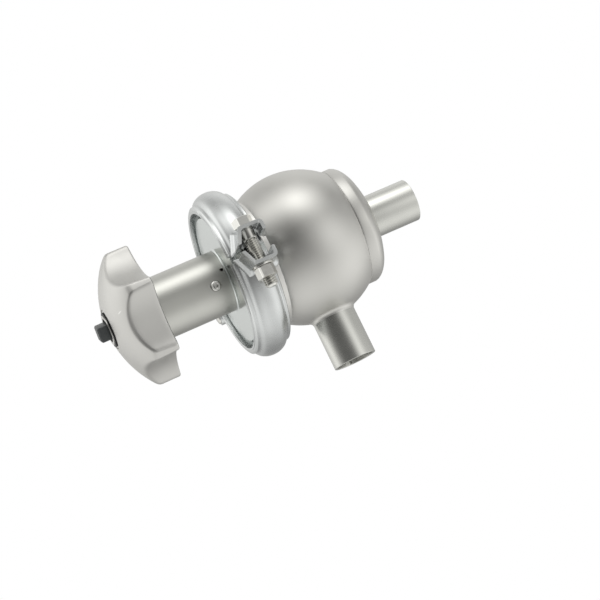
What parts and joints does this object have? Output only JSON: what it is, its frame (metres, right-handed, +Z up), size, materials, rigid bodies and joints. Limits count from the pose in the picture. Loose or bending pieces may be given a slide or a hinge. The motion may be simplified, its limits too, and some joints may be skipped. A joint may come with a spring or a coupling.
{
  "type": "diaphragm valve",
  "caption": "Hygienic angle diaphragm valve with a ball-shaped body, weld ends at right angles, a clamped bonnet and a star hand knob.",
  "frame": {"origin": "centre of the axial weld end's face", "axes": "+Z up the stem towards the knob, -X along the side weld end, -Y towards the clamp bolt"},
  "size_m": [0.1232, 0.1256, 0.1998],
  "materials": {
    "bead_blasted_steel": "bead-blasted stainless steel, satin",
    "brushed_tube": "stainless tube, turned and brushed",
    "polished_steel": "stainless steel, fine polished",
    "clamp_steel": "stainless casting, tumbled and polished",
    "knob_steel": "cast stainless, bead-blasted",
    "fastener_steel": "stainless fasteners, bright",
    "machined_steel": "stainless steel, turned",
    "bronze": "bearing bronze, turned",
    "diaphragm_rubber": "moulded EPDM rubber",
    "ptfe": "PTFE, turned",
    "black_nylon": "black nylon, moulded",
    "black_spring_steel": "phosphated spring steel"
  },
  "bodies": {
    "valve_body": {"shell_lower": "bead_blasted_steel", "shell_upper": "bead_blasted_steel", "end_boss": "bead_blasted_steel", "inlet_tube": "brushed_tube", "outlet_tube": "brushed_tube", "body_ferrule": "polished_steel", "bonnet_plate": "polished_steel", "bonnet_tube": "brushed_tube", "guide_bush": "bronze", "guide_screw": "fastener_steel", "sleeve_shoulder": "machined_steel", "thrust_washer_lower": "bronze", "thrust_washer_upper": "bronze", "retainer_ring": "machined_steel", "sleeve_seal": "diaphragm_rubber", "diaphragm": "diaphragm_rubber", "hinge_links": "clamp_steel", "hinge_pins": "fastener_steel"},
    "hand_knob": {"star_knob": "knob_steel", "drive_sleeve": "machined_steel", "knob_washer": "machined_steel", "circlip": "black_spring_steel"},
    "stem_group": {"stem": "machined_steel", "backing_disc": "machined_steel", "plug": "machined_steel", "plug_seal": "ptfe", "seal_retainer": "machined_steel", "seal_screw": "fastener_steel", "indicator_cap": "black_nylon"},
    "clamp_head_half": {"clamp_half_head_side": "clamp_steel", "clamp_bolt": "fastener_steel"},
    "clamp_nut_half": {"clamp_half_nut_side": "clamp_steel"},
    "nut_seat": {"clamp_washer": "fastener_steel"},
    "nut": {"clamp_nut": "fastener_steel"}
  },
  "joints": [
    {"name": "knob_turn", "type": "hinge", "parent": "valve_body", "child": "hand_knob", "pos_m": [0, 0, 0.165], "axis": [0, 0, 1], "range_deg": [-720, 0]},
    {"name": "stem_lift", "type": "slide", "parent": "valve_body", "child": "stem_group", "axis": [0, 0, 1], "range_m": [-0.006, 0], "deforming": ["diaphragm"]},
    {"name": "head_half_swing", "type": "hinge", "parent": "valve_body", "child": "clamp_head_half", "pos_m": [0.009, 0.055, 0.112], "axis": [0, 0, 1], "range_deg": [0, 1.8]},
    {"name": "nut_half_swing", "type": "hinge", "parent": "valve_body", "child": "clamp_nut_half", "pos_m": [-0.009, 0.055, 0.112], "axis": [0, 0, -1], "range_deg": [0, 1.8]},
    {"name": "nut_travel", "type": "slide", "parent": "clamp_head_half", "child": "nut_seat", "axis": [-1, 0, 0], "range_m": [0, 0.008]},
    {"name": "nut_turn", "type": "hinge", "parent": "nut_seat", "child": "nut", "pos_m": [-0.015, -0.058, 0.1105], "axis": [-1, 0, 0], "range_deg": [0, 2304]}
  ],
  "couplings": [
    {"joint": "stem_lift", "follows": "knob_turn", "m_per_rad": 0.00047746},
    {"joint": "nut_travel", "follows": "nut_turn", "m_per_rad": 0.00019894},
    {"joint": "head_half_swing", "follows": "nut_turn", "ratio": 0.00078125},
    {"joint": "nut_half_swing", "follows": "nut_turn", "ratio": 0.00078125}
  ]
}
